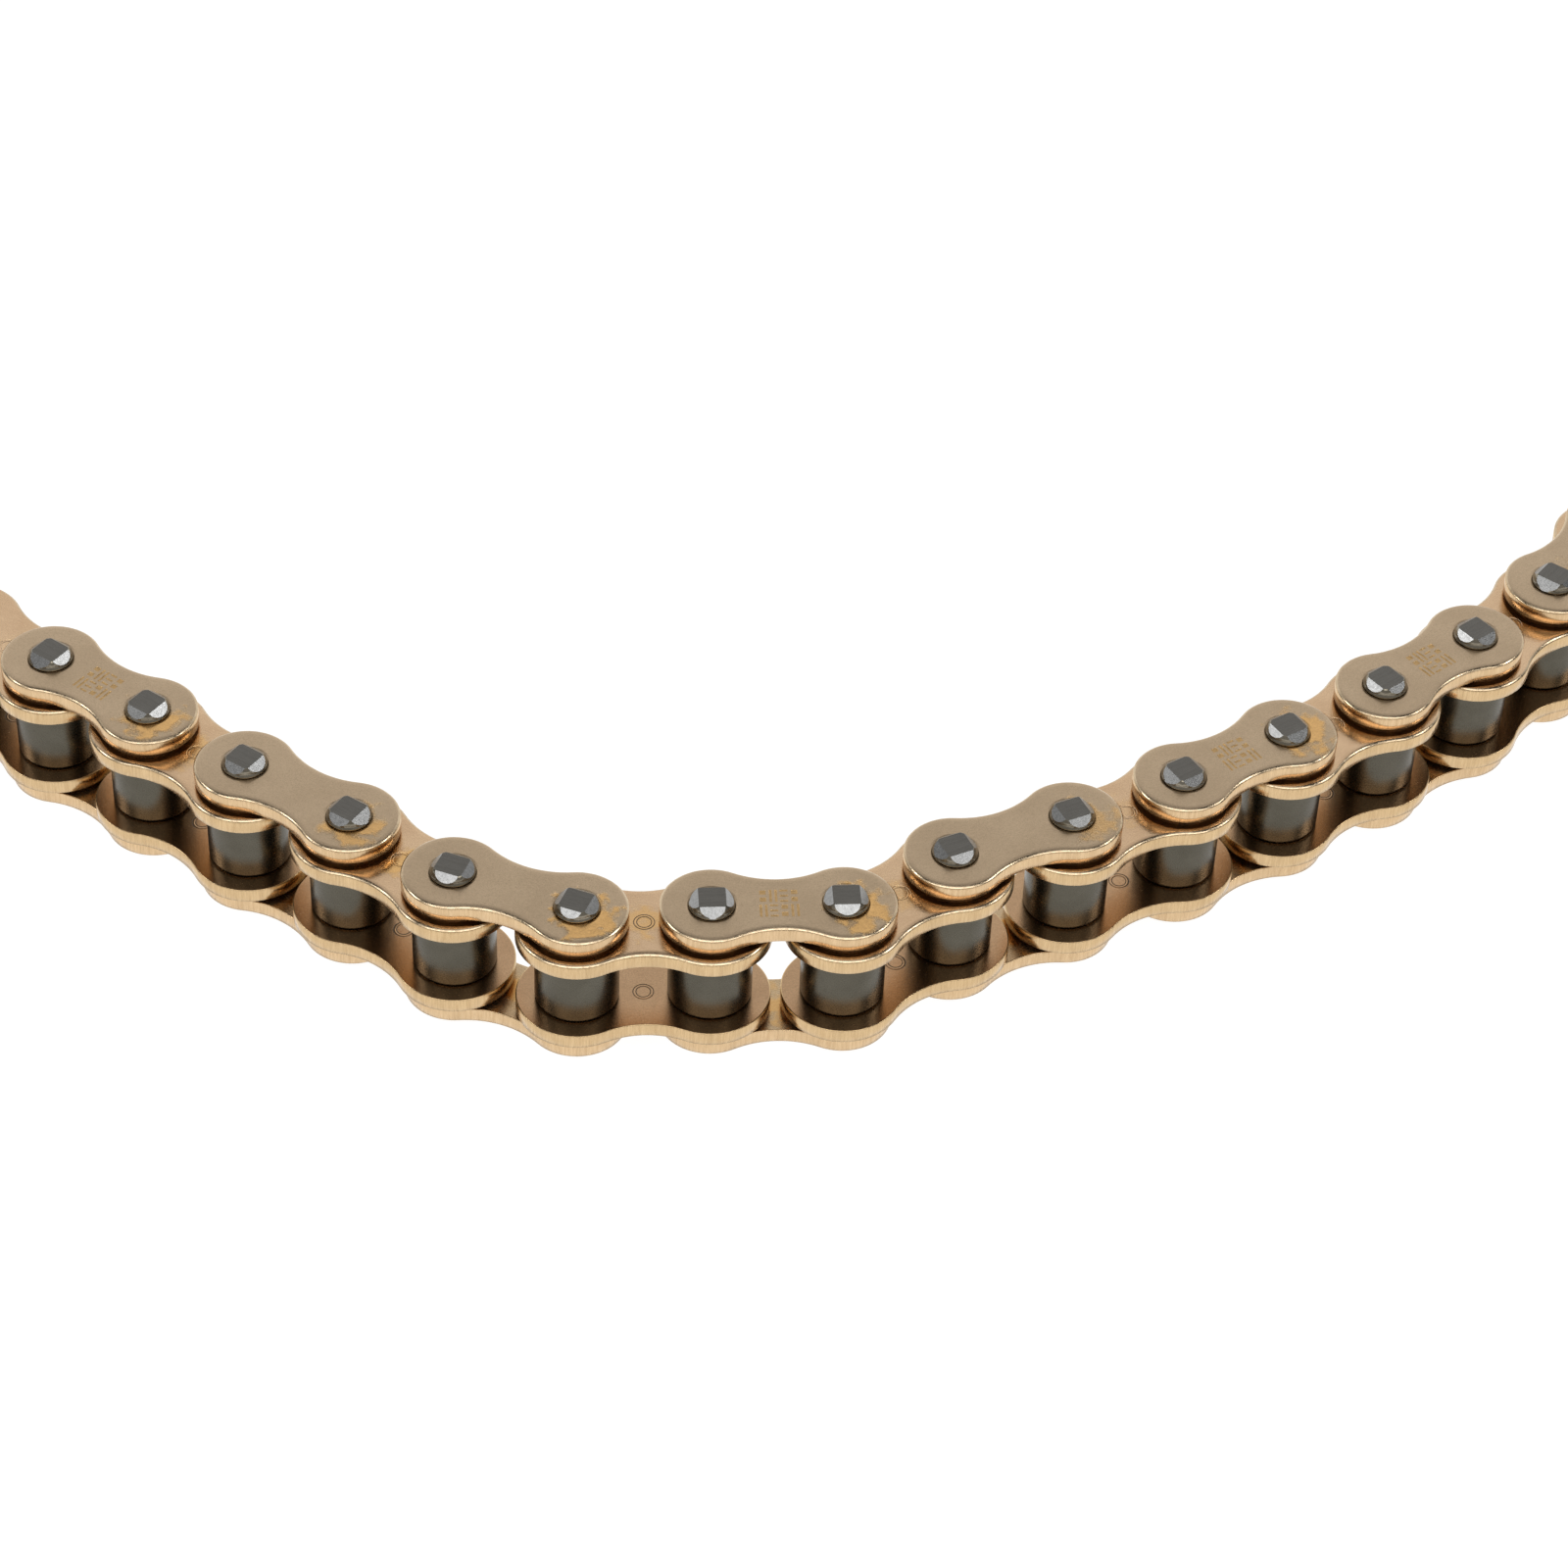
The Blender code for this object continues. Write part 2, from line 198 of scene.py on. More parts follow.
class Shape:
    """A mesh made of rings of points: each ring is joined to the one before it by quads."""

    def __init__(self):
        self.bm = bmesh.new()

    def ring(self, points, z):
        return [self.bm.verts.new((x, y, z)) for x, y in points]

    def join(self, first, second, material):
        for i in range(len(first)):
            j = (i + 1) % len(first)
            face = self.bm.faces.new((first[i], first[j], second[j], second[i]))
            face.material_index = material
            face.smooth = True

    def stack(self, rings, materials):
        for first, second, material in zip(rings, rings[1:], materials):
            self.join(first, second, material)

    def fill(self, rings, material):
        """A flat face between an outer ring and any holes in it, shaded flat."""
        edges = []
        for ring in rings:
            for i, vert in enumerate(ring):
                edge = self.bm.edges.get((ring[i - 1], vert)) or self.bm.edges.new((ring[i - 1], vert))
                edge.smooth = False
                edges.append(edge)
        made = bmesh.ops.triangle_fill(self.bm, edges=edges, use_beauty=True)["geom"]
        for face in made:
            if isinstance(face, bmesh.types.BMFace):
                face.material_index = material

    def finish(self, name, place):
        bmesh.ops.recalc_face_normals(self.bm, faces=self.bm.faces[:])
        mesh = bpy.data.meshes.new(name)
        self.bm.to_mesh(mesh)
        self.bm.free()
        local = mesh.attributes.new("local", "FLOAT_VECTOR", "POINT")
        for vert, item in zip(mesh.vertices, local.data):
            item.vector = vert.co
        mesh.transform(place)
        return mesh


def cut_ring(shape, z):
    """The punched ring: a shallow round groove, deeper at both walls. Returns its rim."""
    rings = [shape.ring(circle(0, radius), z - depth) for radius, depth in PUNCHED_RING]
    shape.stack(rings, RING_SLOTS)
    shape.fill([rings[-1]], FACE)
    return rings[0]


def stamp_cell(kind):
    """The bars of one cell of the stamp, as (middle x, middle y, width, height)."""
    wide, tall = STAMP_CELL
    if kind == 0:
        return [(side * (wide - STAMP_BAR) / 2, 0, STAMP_BAR, tall) for side in (-1, 1)]
    if kind == 1:
        return [(0, level * (tall - STAMP_BAR) / 2, wide, STAMP_BAR) for level in (-1, 0, 1)]
    across, along, away = STAMP_BLOCK
    return [(0, level * tall * away, wide * across, tall * along) for level in (-1, 1)]


def cut_stamp(shape, z):
    """A generic stamp: two rows of plain bars pressed into the face. Returns their rims."""
    wide, tall = STAMP_CELL
    rims = []
    for row in range(STAMP_ROWS):
        for column in range(STAMP_COLUMNS):
            for x, y, width, height in stamp_cell((column + 2 * row) % STAMP_KINDS):
                x += (column - (STAMP_COLUMNS - 1) / 2) * (wide + STAMP_GAP[0])
                y += (row - (STAMP_ROWS - 1) / 2) * (tall + STAMP_GAP[1])
                top = shape.ring(rectangle(x, y, width / 2, height / 2), z)
                inside = rectangle(x, y, width / 2 - STAMP_WALL, height / 2 - STAMP_WALL)
                floor = shape.ring(inside, z - STAMP_DEPTH)
                shape.stack([top, floor], [STAMP])
                shape.fill([floor], STAMP)
                rims.append(top)
    return rims


def plate_mesh(name, link, size, span, hole, up, mark):
    """A blanked plate: its rolled edges face up (1) or down (-1), and its other edges keep a small burr.

    Its upper face carries the punched ring, the stamp or nothing.
    """
    shape = Shape()
    low, high = span
    face, back = (high, low) if up > 0 else (low, high)
    edges = [(inset, face - up * depth) for inset, depth in ROLLED_EDGE]
    edges += [(inset, back + up * depth) for inset, depth in reversed(BURR_EDGE)]
    outer = [shape.ring(plate_outline(*size, inset), z) for inset, z in edges]
    shape.stack(outer, EDGE_SLOTS + [RIM] * (len(outer) - 1 - len(EDGE_SLOTS)))
    face_rims, back_rims = [outer[0]], [outer[-1]]
    for x in (-HALF, HALF):
        walls = [(grow, face - up * depth) for grow, depth in HOLE_EDGE]
        walls += [(grow, back + up * depth) for grow, depth in reversed(HOLE_EDGE)]
        rings = [shape.ring(circle(x, hole + grow), z) for grow, z in walls]
        shape.stack(rings, [FACE] * len(rings))
        face_rims.append(rings[0])
        back_rims.append(rings[-1])
    marked = face_rims if up > 0 else back_rims
    if mark == "ring":
        marked.append(cut_ring(shape, high))
    if mark == "stamp":
        marked.extend(cut_stamp(shape, high))
    shape.fill(face_rims, FACE)
    shape.fill(back_rims, FACE)
    return shape.finish(name, link_frame(link))


def turned_mesh(name, profile, x, link):
    """A ring turned about the pin at x from a closed profile of (radius, height)."""
    shape = Shape()
    rings = [shape.ring(circle(x, radius, TURN_STEPS), z) for radius, z in profile]
    shape.stack(rings + rings[:1], [0] * len(rings))
    mark_sharp(shape.bm)
    return shape.finish(name, link_frame(link))


def mark_sharp(bm):
    bm.normal_update()
    for edge in bm.edges:
        if len(edge.link_faces) == 2 and edge.calc_face_angle(0) > SHARP_ANGLE:
            edge.smooth = False


def roller_profile():
    low, high = ROLLER_ENDS
    profile = [(ROLLER_BORE + ROLLER_BORE_CHAMFER, high)]
    profile += [(ROLLER_RADIUS - inset, high - depth) for inset, depth in ROLLER_EDGE]
    mirrored = [(radius, low + high - z) for radius, z in reversed(profile)]
    bore = [(ROLLER_BORE, z) for z in (low + ROLLER_BORE_CHAMFER, high - ROLLER_BORE_CHAMFER)]
    return profile + mirrored + bore


def bush_profile():
    low, high = BUSH_ENDS
    wide, deep = BUSH_BORE_CHAMFER
    profile = [(BUSH_BORE, high - deep), (BUSH_BORE + wide, high)]
    profile += [(BUSH_RADIUS - inset, high - depth) for inset, depth in BUSH_EDGE]
    return profile + [(radius, low + high - z) for radius, z in reversed(profile)]


def seal_profile(low, high):
    """An X section: a lip at each corner, with a round hollow along each of the four sides."""
    middle, tall = (low + high) / 2, (high - low) / 2
    profile = []
    for i in range(SEAL_STEPS):
        angle = -2 * math.pi * i / SEAL_STEPS
        lip = 1 - SEAL_HOLLOW * (1 - abs(math.sin(2 * angle)) ** 0.7)
        square = max(abs(math.cos(angle)), abs(math.sin(angle)))
        reach = lip / square
        radius = SEAL_MIDDLE + SEAL_HALF * reach * math.cos(angle)
        profile.append((radius, middle + tall * reach * math.sin(angle)))
    return profile


def stake(bm, chance):
    """Cuts four sloping facets off each end of a pin, which leaves a square in the middle."""
    for end, side in zip(PIN_ENDS, (-1, 1)):
        for quarter in range(4):
            turn = quarter * math.pi / 2
            outward = Vector((math.cos(turn), math.sin(turn), 0))
            half = STAKE_HALF + chance.uniform(-1, 1) * STAKE_HALF_SPREAD
            tilt = STAKE_SLOPE + chance.uniform(-1, 1) * STAKE_SLOPE_SPREAD
            slope = outward * math.sin(tilt) + Vector((0, 0, side * math.cos(tilt)))
            cut = bmesh.ops.bisect_plane(
                bm, geom=bm.verts[:] + bm.edges[:] + bm.faces[:], clear_outer=True,
                plane_co=outward * half + Vector((0, 0, end)), plane_no=slope)
            rim = [item for item in cut["geom_cut"] if isinstance(item, bmesh.types.BMEdge)]
            bmesh.ops.contextual_create(bm, geom=rim)


def pin_slot(face):
    level = abs(face.normal.z)
    if level > END_LEVEL:
        return ENDS
    return FACETS if level > FACET_LEVEL and face.calc_area() > FACET_AREA else SIDES


def pin_mesh(name, x, link):
    """A pin with a swaged head at both ends, staked square by four facets that follow the link."""
    low, high = PIN_ENDS
    profile = [(radius, high - depth) for radius, depth in PIN_HEAD]
    profile += [(radius, OUTER_TOP[1] + above) for radius, above in PIN_COLLAR]
    profile += [(radius, OUTER_BOTTOM[0] - above) for radius, above in reversed(PIN_COLLAR)]
    profile += [(radius, low + depth) for radius, depth in reversed(PIN_HEAD)]
    shape = Shape()
    rings = [shape.ring(circle(0, radius, TURN_STEPS), z) for radius, z in profile]
    shape.stack(rings, [0] * len(rings))
    bm = shape.bm
    for ring in (rings[0], rings[-1]):
        bm.faces.new(ring)
    stake(bm, random.Random(name))
    bmesh.ops.recalc_face_normals(bm, faces=bm.faces[:])
    straight = [edge for edge in bm.edges if all(len(face.verts) > 4 for face in edge.link_faces)]
    bmesh.ops.bevel(bm, geom=straight, offset=STAKE_ROUNDING, offset_type="OFFSET", segments=2,
                    affect="EDGES", profile=0.6, clamp_overlap=True)
    for face in bm.faces:
        face.smooth = True
        face.material_index = pin_slot(face)
    mark_sharp(bm)
    for edge in bm.edges:
        if any(len(face.verts) > 4 for face in edge.link_faces):
            edge.smooth = False
    bmesh.ops.translate(bm, vec=(x, 0, 0), verts=bm.verts[:])
    return shape.finish(name, link_frame(link))


# ---------------------------------------------------------------- materials
class Finish:
    """A Principled material and short calls that add nodes to it. A value may be a number or a socket."""

    def __init__(self, name, metallic=1.0):
        self.material = bpy.data.materials.new(name)
        self.material.use_nodes = True
        self.tree = self.material.node_tree
        self.shader = self.tree.nodes["Principled BSDF"]
        self.shader.inputs["Metallic"].default_value = metallic
        self.local = self.add("ShaderNodeAttribute", attribute_name="local").outputs["Vector"]
        place = self.add("ShaderNodeTexCoord").outputs["Object"]
        self.place = self.vector("SCALE", place, scale=1 / MM)

    def put(self, socket, value):
        if isinstance(value, bpy.types.NodeSocket):
            self.tree.links.new(value, socket)
        else:
            socket.default_value = value

    def add(self, kind, values=(), **settings):
        node = self.tree.nodes.new(kind)
        for key, value in settings.items():
            setattr(node, key, value)
        for key, value in dict(values).items():
            self.put(node.inputs[key], value)
        return node

    def vector(self, operation, first, second=None, scale=None):
        node = self.add("ShaderNodeVectorMath", {0: first}, operation=operation)
        if second is not None:
            self.put(node.inputs[1], second)
        if scale is not None:
            self.put(node.inputs["Scale"], scale)
        return node.outputs["Value" if operation == "DISTANCE" else "Vector"]

    def math(self, operation, first, second):
        return self.add("ShaderNodeMath", {0: first, 1: second}, operation=operation).outputs[0]

    def noise(self, vector, scale, detail, roughness):
        values = {"Vector": vector, "Scale": scale, "Detail": detail, "Roughness": roughness}
        return self.add("ShaderNodeTexNoise", values).outputs["Fac"]

    def remap(self, value, low, high, to_low=0.0, to_high=1.0):
        values = {"Value": value, "From Min": low, "From Max": high, "To Min": to_low, "To Max": to_high}
        return self.add("ShaderNodeMapRange", values).outputs["Result"]

    def mix(self, factor, first, second):
        node = self.add("ShaderNodeMix", data_type="RGBA")
        for socket, value in ((node.inputs[0], factor), (node.inputs[6], first), (node.inputs[7], second)):
            self.put(socket, (*value, 1) if isinstance(value, tuple) else value)
        return node.outputs[2]

    def stretched(self, x, y, z):
        return self.vector("MULTIPLY", self.local, (x, y, z))

    def bump(self, height, distance):
        """Adds a bump of this many millimetres on top of the ones before it."""
        node = self.add("ShaderNodeBump", {"Height": height, "Distance": distance * MM, "Strength": 1})
        before = self.shader.inputs["Normal"].links
        if before:
            self.tree.links.new(before[0].from_socket, node.inputs["Normal"])
        self.tree.links.new(node.outputs["Normal"], self.shader.inputs["Normal"])

    def done(self, colour, roughness):
        self.put(self.shader.inputs["Base Color"], colour)
        self.put(self.shader.inputs["Roughness"], roughness)
        return self.material


def shade(colour, amount):
    return tuple(channel * amount for channel in colour)


def greased(finish, colour, thickness):
    """Amber grease on a plate: round each end by the first two amounts, in the middle by the third.

    It is a film with a lighter crust along its edge. Returns the colour and where the film is.
    """
    grease = finish.add("ShaderNodeAttribute", attribute_name="grease").outputs["Vector"]
    amounts = finish.add("ShaderNodeSeparateXYZ", {"Vector": grease}).outputs
    flat = finish.vector("MULTIPLY", finish.local, (1, 1, 0))
    uneven = finish.noise(finish.place, 0.5, 2, 0.5)
    crumbs = finish.noise(finish.place, 5.5, 3, 0.65)
    mask = 0.0
    for amount, spot, (thick, thin) in zip(amounts, GREASE_SPOTS, GREASE_REACH):
        away = finish.vector("DISTANCE", flat, spot)
        away = finish.math("ADD", away, finish.remap(uneven, 0.3, 0.7, -1.7, 1.7))
        patch = finish.math("MULTIPLY", finish.remap(away, thick, thin, 1, 0), amount)
        mask = finish.math("MAXIMUM", mask, patch)
    ragged = finish.math("ADD", mask, finish.remap(crumbs, 0.3, 0.7, -0.12, 0.12))
    film = finish.remap(ragged, 0.2, 0.6)
    edge = finish.math("MULTIPLY", finish.remap(mask, 0.08, 0.22), finish.remap(mask, 0.62, 0.4))
    crust = finish.math("MULTIPLY", edge, finish.remap(crumbs, 0.55, 0.68, 0, 0.7))
    finish.bump(crust, thickness)
    finish.bump(finish.math("MULTIPLY", film, uneven), thickness * 2)
    tone = finish.mix(finish.remap(crumbs, 0.35, 0.65), GREASE_COLOUR, shade(GREASE_COLOUR, 0.8))
    colour = finish.mix(finish.math("MULTIPLY", film, 0.9), colour, tone)
    return finish.mix(crust, colour, CRUST_COLOUR), film


def plate_face(name, light, dark, rough, thickness):
    """Satin gold plating on steel: lengthwise grain, fine speckle, faint clouds and some amber grease."""
    finish = Finish(name)
    clouds = finish.noise(finish.place, 0.16, 3, 0.6)
    colour = finish.mix(finish.remap(clouds, 0.35, 0.65), light, dark)
    grain = finish.noise(finish.stretched(1.5, 9, 1), 1.0, 4, 0.7)
    speck = finish.noise(finish.place, 7.5, 2, 0.6)
    colour = finish.mix(finish.remap(speck, 0.45, 0.7, 0, 0.8), colour, shade(dark, 0.74))
    colour = finish.mix(finish.remap(grain, 0.52, 0.75, 0, 0.5), colour, shade(light, 1.3))
    finish.bump(speck, 0.006)
    finish.bump(grain, 0.006)
    colour, patchy = greased(finish, colour, thickness)
    rough = finish.remap(grain, 0.3, 0.7, rough - 0.05, rough + 0.06)
    return finish.done(colour, finish.math("MULTIPLY", rough, finish.remap(patchy, 0, 1, 1, 0.7)))


def plate_rim(name, light, dark):
    """The sheared rim: fine upright score marks, with a few broader duller ones."""
    finish = Finish(name)
    upright = finish.stretched(1, 1, 0.1)
    lines = finish.noise(upright, 3.6, 4, 0.7)
    broad = finish.noise(upright, 0.5, 2, 0.5)
    pits = finish.noise(finish.place, 4.0, 3, 0.6)
    colour = finish.mix(finish.remap(lines, 0.35, 0.7), light, dark)
    colour = finish.mix(finish.remap(broad, 0.45, 0.75, 0, 0.3), colour, shade(dark, 0.75))
    finish.bump(lines, 0.016)
    finish.bump(pits, 0.01)
    return finish.done(colour, finish.remap(lines, 0.3, 0.7, 0.17, 0.3))


def burnished_edge(name, light, dark):
    """The edge rolled by blanking and tumbling: smoother and brighter than the rim, with small nicks."""
    finish = Finish(name)
    nicks = finish.noise(finish.place, 1.6, 4, 0.7)
    colour = finish.mix(finish.remap(nicks, 0.5, 0.72), light, dark)
    finish.bump(nicks, 0.008)
    return finish.done(colour, finish.remap(nicks, 0.4, 0.65, 0.16, 0.36))


def stamped_gold():
    """The bottom of a stamped mark: a duller, more amber gold with a little grime."""
    finish = Finish("stamped_gold")
    grime = finish.noise(finish.place, 2.5, 3, 0.6)
    colour = finish.mix(finish.remap(grime, 0.3, 0.7), (0.59, 0.39, 0.18), (0.46, 0.29, 0.125))
    finish.bump(finish.noise(finish.place, 5.0, 2, 0.6), 0.03)
    return finish.done(colour, 0.4)


def turned_steel(name, light, dark, rough, line_depth):
    """Turned and hardened steel: fine lines round its axis, which spread the shine upright."""
    finish = Finish(name)
    lines = finish.noise(finish.stretched(0.15, 0.15, 8), 1.0, 3, 0.7)
    tone = finish.noise(finish.place, 0.35, 3, 0.5)
    speck = finish.noise(finish.place, 6.0, 2, 0.6)
    colour = finish.mix(finish.remap(tone, 0.3, 0.7), light, dark)
    colour = finish.mix(finish.remap(speck, 0.5, 0.8, 0, 0.35), colour, shade(dark, 0.7))
    finish.bump(lines, line_depth)
    return finish.done(colour, finish.remap(speck, 0.3, 0.7, rough - 0.03, rough + 0.05))


def ground_steel(name, light, dark, rough, lines_across, line_depth):
    """Steel with straight grinding marks that follow the link."""
    finish = Finish(name)
    lines = finish.noise(finish.stretched(*lines_across), 1.0, 3, 0.7)
    speck = finish.noise(finish.place, 5.0, 3, 0.6)
    colour = finish.mix(finish.remap(lines, 0.35, 0.65), light, dark)
    finish.bump(lines, line_depth)
    finish.bump(speck, 0.0006)
    return finish.done(colour, finish.remap(speck, 0.3, 0.7, rough - 0.04, rough + 0.06))


def dark_grime():
    """Old grease and dust that has dried in a groove."""
    finish = Finish("dark_grime", metallic=0.0)
    colour = finish.mix(finish.noise(finish.place, 3.0, 3, 0.6), (0.1, 0.065, 0.035), (0.2, 0.13, 0.07))
    finish.bump(finish.noise(finish.place, 6.0, 2, 0.6), 0.03)
    return finish.done(colour, 0.55)


def greased_rubber():
    """A seal's dark rubber under an uneven film of grease."""
    finish = Finish("greased_rubber", metallic=0.0)
    film = finish.noise(finish.place, 1.2, 4, 0.6)
    colour = finish.mix(finish.remap(film, 0.35, 0.6), (0.07, 0.05, 0.03), (0.24, 0.15, 0.07))
    finish.bump(film, 0.05)
    return finish.done(colour, finish.remap(film, 0.3, 0.7, 0.45, 0.18))


outer_face = plate_face("outer_gold_face", (0.53, 0.40, 0.265), (0.475, 0.355, 0.232), 0.32, 0.03)
inner_face = plate_face("inner_gold_face", (0.66, 0.465, 0.29), (0.58, 0.395, 0.24), 0.16, 0.006)
# Painted shade: the lower inner plates take a darker, more amber copy of the upper inner plates' gold.
inner_lower_shaded = plate_face("inner_gold_lower_painted_shade", (0.53, 0.345, 0.2), (0.465, 0.295, 0.168), 0.22, 0.004)
# Painted light: the lower outer plates take a lighter copy of the outer plates' gold, which lifts the shade
# in the gaps between plates.
outer_lower_lit = plate_face("outer_gold_lower_painted_light", (0.64, 0.48, 0.3), (0.55, 0.4, 0.24), 0.28, 0.006)
edge_finish = burnished_edge("rolled_gold_edge", (0.6, 0.47, 0.315), (0.46, 0.345, 0.21))
outer_rim = plate_rim("outer_gold_rim", (0.75, 0.545, 0.325), (0.61, 0.42, 0.232))
inner_rim = plate_rim("inner_gold_rim", (0.71, 0.515, 0.29), (0.575, 0.395, 0.208))
stamp_floor = stamped_gold()
roller_finish = turned_steel("roller_steel_fine", (0.118, 0.108, 0.085), (0.098, 0.089, 0.069), 0.27, 0.007)
bush_finish = turned_steel("bush_steel_fine", (0.45, 0.44, 0.42), (0.36, 0.35, 0.33), 0.25, 0.01)
pin_finish = ground_steel(
    "pin_steel_fine", (0.38, 0.38, 0.375), (0.29, 0.29, 0.285), 0.28, (3, 3, 0.3), 0.003)
pin_end_finish = ground_steel(
    "pin_end_steel", (0.15, 0.143, 0.13), (0.12, 0.114, 0.102), 0.3, (0.5, 8, 1), 0.01)
pin_side_finish = turned_steel("pin_steel_side", (0.32, 0.285, 0.225), (0.2, 0.175, 0.13), 0.2, 0.004)
seal_finish = greased_rubber()
grime = dark_grime()


# ---------------------------------------------------------------- pieces on the frame
def add_grease(mesh, amounts):
    """Stores how greasy a plate is, for its material to read."""
    layer = mesh.attributes.new("grease", "FLOAT_VECTOR", "POINT")
    layer.data.foreach_set("vector", list(amounts) * len(mesh.vertices))


def add_piece(name, mesh, body, slot, replaced, *materials):
    obj = bpy.data.objects.new(name, mesh)
    bpy.context.scene.collection.objects.link(obj)
    for material in materials:
        mesh.materials.append(material)
    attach(obj, body)
    if replaced:
        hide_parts(*replaced)


def known(*names):
    """The first of these names that the frame has as a node, in a list, or an empty list."""
    return [name for name in names if name in frame["nodes"]][:1]


def dress_outer_link(link):
    """Two plates, two staked pins, and the four seals that sit round the pins."""
    number, body = number_of(link), body_of(link)
    size = (OUTER_LOBE, OUTER_WAIST)
    for side, span, up in (("top", OUTER_TOP, 1), ("bottom", OUTER_BOTTOM, -1)):
        mark = "stamp" if side == "top" and number in STAMPED_LINKS else None
        name = f"outer_side_plate_{side}_{number}"
        mesh = plate_mesh(name, link, size, span, PIN_RADIUS + PIN_HOLE_GAP, up, mark)
        add_grease(mesh, OUTER_GREASE[number] if side == "top" else UNDER_OUTER_GREASE)
        replaced = known(f"outer_plate_{side}_{number}", f"pin_plate_{number}")
        # The lower plates take the lighter copy of the gold, which is painted light.
        finishes = (outer_face if side == "top" else outer_lower_lit, outer_rim, stamp_floor, edge_finish)
        add_piece(name, mesh, body, "gold_plate", replaced, *finishes)
    for end, x in ((0, -HALF), (1, HALF)):
        station = f"{link + end:02d}"
        name = f"staked_pin_{station}"
        replaced = known(f"pin_{station}", f"pin_plate_{number}")
        finishes = (pin_finish, pin_end_finish, pin_side_finish)
        add_piece(name, pin_mesh(name, x, link), body, "pin_steel", replaced, *finishes)
        for side, span in (("top", SEAL_TOP), ("bottom", SEAL_BOTTOM)):
            name = f"x_ring_{side}_{station}"
            mesh = turned_mesh(name, seal_profile(*span), x, link)
            replaced = known(f"x_ring_seal_{side}_{station}")
            add_piece(name, mesh, body, "seal_rubber", replaced, seal_finish)


def dress_inner_link(link):
    """Two plates, the two bushes pressed in them, and a roller on each bush."""
    number, body = number_of(link), body_of(link)
    size = (INNER_LOBE, INNER_WAIST)
    joined = f"inner_plates_and_bushes_{number}"
    for side, span, up in (("top", INNER_TOP, 1), ("bottom", INNER_BOTTOM, -1)):
        name = f"inner_side_plate_{side}_{number}"
        mesh = plate_mesh(name, link, size, span, BUSH_RADIUS + BUSH_HOLE_GAP, up, "ring")
        amounts = INNER_GREASE.get(number, OTHER_INNER_GREASE) if side == "top" else UNDER_INNER_GREASE
        add_grease(mesh, amounts)
        replaced = known(f"inner_plate_{side}_{number}", joined)
        # The lower plates take the darker copy of the gold, which is painted shade.
        face = inner_face if side == "top" else inner_lower_shaded
        groove = grime if side == "bottom" or number == GRIMY_RING else face
        finishes = (face, inner_rim, stamp_floor, edge_finish, groove)
        add_piece(name, mesh, body, "gold_inner_plate", replaced, *finishes)
    for end, x in ((0, -HALF), (1, HALF)):
        station = f"{link + end:02d}"
        name = f"pressed_bush_{station}"
        mesh = turned_mesh(name, bush_profile(), x, link)
        add_piece(name, mesh, body, "bush_steel", known(f"bush_{station}", joined), bush_finish)
        name = f"turned_roller_{station}"
        mesh = turned_mesh(name, roller_profile(), x, link)
        add_piece(name, mesh, f"roller_{station}", "roller_steel", [f"roller_{station}"], roller_finish)


for link in LINKS:
    if is_outer(link):
        dress_outer_link(link)
    else:
        dress_inner_link(link)


# ---------------------------------------------------------------- floor, light and camera
FLOOR_HALF, FLOOR_GREY, FLOOR_GLOW = 6, 0.15, 0.95
# Soft panels that hang level over the object and shine down, as two corners and a radiance
PANEL_HEIGHT = 1
PANELS = {
    "front_panel": ((-0.86, -0.95), (0.86, -0.36), 2.4),
    "top_panel": ((-0.3, -0.3), (0.3, 0.3), 0.55),
    "left_panel": ((-1.25, -0.14), (-0.87, 0.32), 6),
    "right_panel": ((0.87, -0.14), (1.25, 0.32), 6),
}
# How bright the studio is by height (Z) and from front to back (Y), at positions from -1 to 1
SKY_STOPS = {
    "Z": ((-1, 1), (0.3, 1), (0.7, 1), (0.86, 0.22), (1, 0.14)),
    "Y": ((-1, 0.38), (-0.4, 0.38), (-0.1, 0.14), (0.28, 0.14), (0.62, 1), (1, 1)),
}


def add_floor():
    mesh = bpy.data.meshes.new("floor")
    bm = bmesh.new()
    bmesh.ops.create_grid(bm, x_segments=1, y_segments=1, size=FLOOR_HALF)
    bm.to_mesh(mesh)
    bm.free()
    floor = bpy.data.objects.new("floor", mesh)
    bpy.context.scene.collection.objects.link(floor)
    material = bpy.data.materials.new("floor_white")
    material.use_nodes = True
    shader = material.node_tree.nodes["Principled BSDF"]
    shader.inputs["Base Color"].default_value = (FLOOR_GREY, FLOOR_GREY, FLOOR_GREY, 1)
    shader.inputs["Roughness"].default_value = 0.9
    shader.inputs["Emission Color"].default_value = (1, 1, 1, 1)
    shader.inputs["Emission Strength"].default_value = FLOOR_GLOW
    mesh.materials.append(material)


def add_panel(name, low, high, radiance):
    light = bpy.data.lights.new(name, "AREA")
    light.shape = "RECTANGLE"
    light.size, light.size_y = high[0] - low[0], high[1] - low[1]
    light.energy = radiance * math.pi * light.size * light.size_y
    obj = bpy.data.objects.new(name, light)
    bpy.context.scene.collection.objects.link(obj)
    obj.location = ((low[0] + high[0]) / 2, (low[1] + high[1]) / 2, PANEL_HEIGHT)


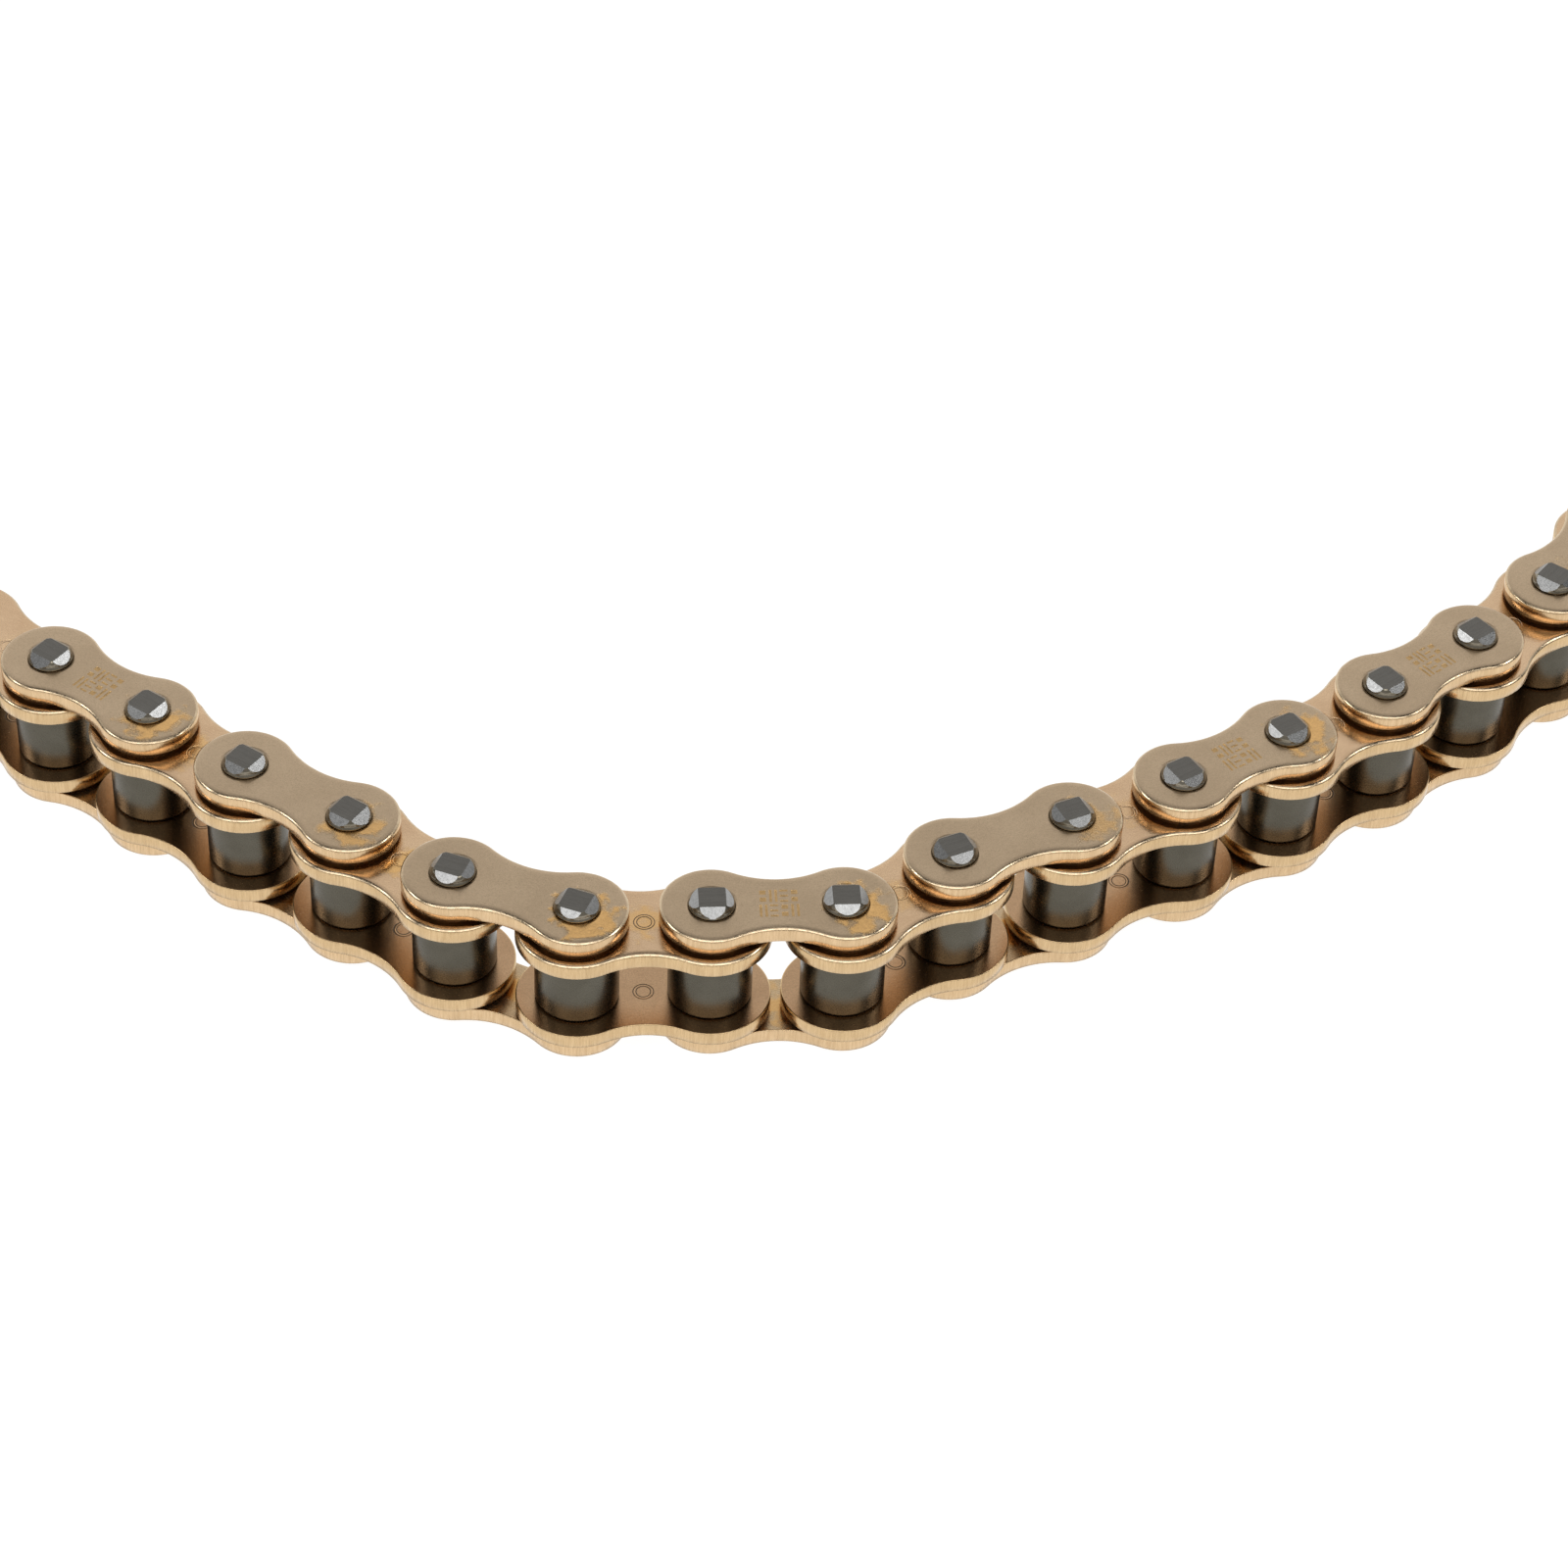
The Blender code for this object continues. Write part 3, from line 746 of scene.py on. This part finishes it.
def add_sky():
    """A studio round the object: bright low down, dim overhead, and dimmer in front than behind."""
    world = bpy.data.worlds.new("studio")
    bpy.context.scene.world = world
    world.use_nodes = True
    tree = world.node_tree
    sky = tree.nodes["Background"]
    split = tree.nodes.new("ShaderNodeSeparateXYZ")
    tree.links.new(tree.nodes.new("ShaderNodeTexCoord").outputs["Generated"], split.inputs[0])
    ramps = []
    for axis, stops in SKY_STOPS.items():
        ramp = tree.nodes.new("ShaderNodeValToRGB")
        half = tree.nodes.new("ShaderNodeMath")
        half.operation = "MULTIPLY_ADD"
        half.inputs[1].default_value = half.inputs[2].default_value = 0.5
        tree.links.new(split.outputs[axis], half.inputs[0])
        tree.links.new(half.outputs[0], ramp.inputs[0])
        for position, level in stops[1:-1]:
            ramp.color_ramp.elements.new((position + 1) / 2)
        for element, (position, level) in zip(ramp.color_ramp.elements, stops):
            element.position = (position + 1) / 2
            element.color = (level, level, level, 1)
        ramps.append(ramp)
    product = tree.nodes.new("ShaderNodeMath")
    product.operation = "MULTIPLY"
    for ramp, socket in zip(ramps, product.inputs):
        tree.links.new(ramp.outputs[0], socket)
    tree.links.new(product.outputs[0], sky.inputs[0])


def add_camera():
    data = bpy.data.cameras.new("camera")
    data.sensor_width = CAMERA_SENSOR
    data.lens = CAMERA_LENS
    data.shift_y = CAMERA_SHIFT_Y
    data.clip_start = 0.05
    camera = bpy.data.objects.new("camera", data)
    bpy.context.scene.collection.objects.link(camera)
    back = Vector((0, -math.cos(CAMERA_ELEVATION), math.sin(CAMERA_ELEVATION)))
    look = (-back).to_track_quat("-Z", "Y").to_matrix().to_4x4()
    roll = Matrix.Rotation(-CAMERA_ROLL, 4, "Z")
    camera.matrix_world = Matrix.Translation(CAMERA_TARGET + back * CAMERA_DISTANCE) @ look @ roll
    bpy.context.scene.camera = camera


add_floor()
add_sky()
for name, (low, high, radiance) in PANELS.items():
    add_panel(name, low, high, radiance)
bpy.context.scene.view_settings.view_transform = "Standard"
add_camera()
